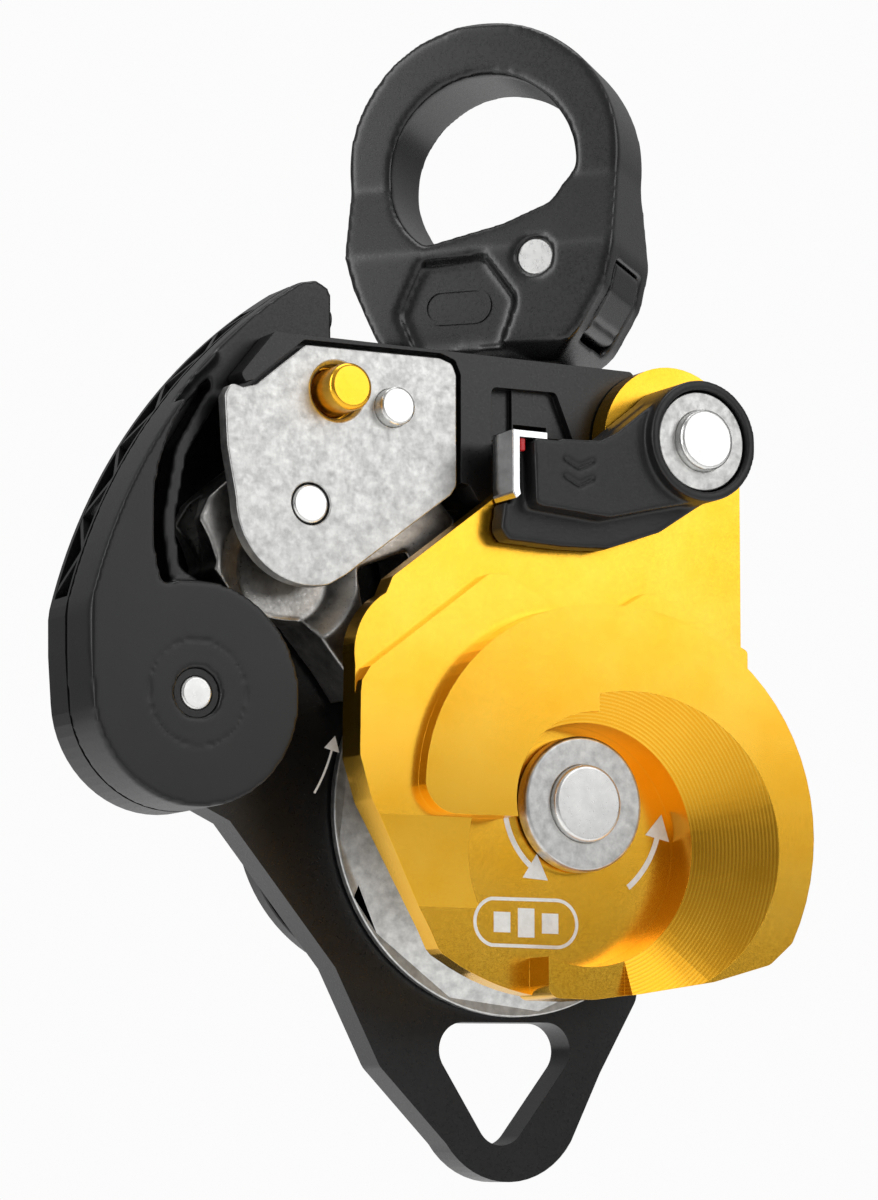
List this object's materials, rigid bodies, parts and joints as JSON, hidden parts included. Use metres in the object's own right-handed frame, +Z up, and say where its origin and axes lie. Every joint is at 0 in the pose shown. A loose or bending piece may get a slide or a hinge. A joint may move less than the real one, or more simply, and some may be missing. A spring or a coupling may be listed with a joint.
{
  "type": "progress capture rope pulley",
  "caption": "Rope pulley with a turning eye, a faceted sheave with a rope-gripping cam and release handle, a rear sheave, a swinging side plate with a friction channel, and a becket.",
  "frame": {"origin": "middle of the opening of the turning eye, on the load line through the post", "axes": "+Z up the load line away from the becket, +Y from the front side plate to the rear sheave along the main axle, +X to the right seen from the front"},
  "size_m": [0.12, 0.0621, 0.1929],
  "materials": {
    "eye_black": "black anodised forged aluminium, satin",
    "black_anodised": "black anodised aluminium plate, satin",
    "gold_anodised": "yellow gold anodised machined aluminium",
    "stainless_matt": "tumbled stainless steel, matt",
    "steel_turned": "bright turned stainless steel",
    "cast_steel": "dark cast stainless steel",
    "bearing_steel": "ground bearing steel",
    "nylon_black": "black glass filled nylon, fine texture",
    "seal_black": "black plain bush",
    "gold_button": "gold anodised aluminium button",
    "bronze": "bronze bush",
    "spring_steel": "spring wire"
  },
  "bodies": {
    "swivel": {"swivel_eye": "eye_black", "gate_pin": "steel_turned", "lock_pin": "steel_turned", "swivel_post": "steel_turned"},
    "gate": {"swivel_gate": "eye_black"},
    "frame": {"swivel_washer": "stainless_matt", "swivel_bush": "bronze", "becket_plate": "black_anodised", "front_cheek": "black_anodised", "cheek_screw": "stainless_matt", "cover_plate": "stainless_matt", "cover_rivet": "steel_turned", "rear_side_plate": "black_anodised", "rear_screws": "stainless_matt", "main_axle": "steel_turned", "axle_washer": "stainless_matt", "axle_nut": "stainless_matt", "front_spacers": "bearing_steel", "rear_spacers": "bearing_steel", "front_bearing_inner": "bearing_steel", "front_bearing_balls": "bearing_steel", "rear_bearing_inner": "bearing_steel", "rear_bearing_balls": "bearing_steel", "clutch_rollers": "bearing_steel", "cam_pin": "steel_turned", "cam_spring": "spring_steel", "handle_pin": "steel_turned"},
    "side_plate": {"side_plate": "gold_anodised", "side_plate_bush": "bronze", "latch_stud": "steel_turned", "latch_washer": "stainless_matt", "latch_spring": "spring_steel"},
    "latch": {"latch_lever": "nylon_black", "latch_hook": "steel_turned"},
    "cam": {"cam": "cast_steel", "cam_bush": "bronze"},
    "handle": {"handle_front_shell": "nylon_black", "handle_rear_shell": "nylon_black", "handle_bush": "seal_black", "handle_screws": "stainless_matt", "handle_stop": "seal_black"},
    "button": {"lock_button": "gold_button", "button_spring": "spring_steel"},
    "front_sheave": {"faceted_sheave": "stainless_matt", "front_bearing_outer": "bearing_steel", "clutch_cup": "bearing_steel"},
    "rear_sheave": {"rear_sheave": "black_anodised", "rear_bearing_outer": "bearing_steel"}
  },
  "joints": [
    {"name": "swivel_turn", "type": "hinge", "parent": "swivel", "child": "frame", "pos_m": [0, 0, -0.034], "axis": [0, 0, 1], "continuous": true},
    {"name": "gate_swing", "type": "hinge", "parent": "swivel", "child": "gate", "pos_m": [0.01125, -0.01207, -0.0265], "axis": [0.7314, 0.682, 0], "range_deg": [0, 70]},
    {"name": "side_plate_swing", "type": "hinge", "parent": "frame", "child": "side_plate", "pos_m": [0, -0.0225, -0.108], "axis": [0, 1, 0], "range_deg": [0, 110]},
    {"name": "latch_press", "type": "hinge", "parent": "side_plate", "child": "latch", "pos_m": [0.0186, -0.029, -0.0488], "axis": [0, -1, 0], "range_deg": [0, 8], "stiffness_Nm_per_rad": 0.3, "springref_deg": -11.46},
    {"name": "cam_lift", "type": "hinge", "parent": "frame", "child": "cam", "pos_m": [-0.0452, -0.009, -0.0622], "axis": [0, 1, 0], "range_deg": [0, 15], "stiffness_Nm_per_rad": 0.4, "springref_deg": -17.19},
    {"name": "handle_swing", "type": "hinge", "parent": "frame", "child": "handle", "pos_m": [-0.0643, -0.011, -0.0931], "axis": [0, -1, 0], "range_deg": [0, 95]},
    {"name": "button_press", "type": "slide", "parent": "frame", "child": "button", "axis": [0, 1, 0], "range_m": [0, 0.003], "stiffness_N_per_m": 600, "springref_m": -0.002},
    {"name": "front_sheave_spin", "type": "hinge", "parent": "frame", "child": "front_sheave", "pos_m": [0, -0.0115, -0.108], "axis": [0, 1, 0], "continuous": true},
    {"name": "rear_sheave_spin", "type": "hinge", "parent": "frame", "child": "rear_sheave", "pos_m": [0, 0.0105, -0.108], "axis": [0, 1, 0], "continuous": true}
  ]
}
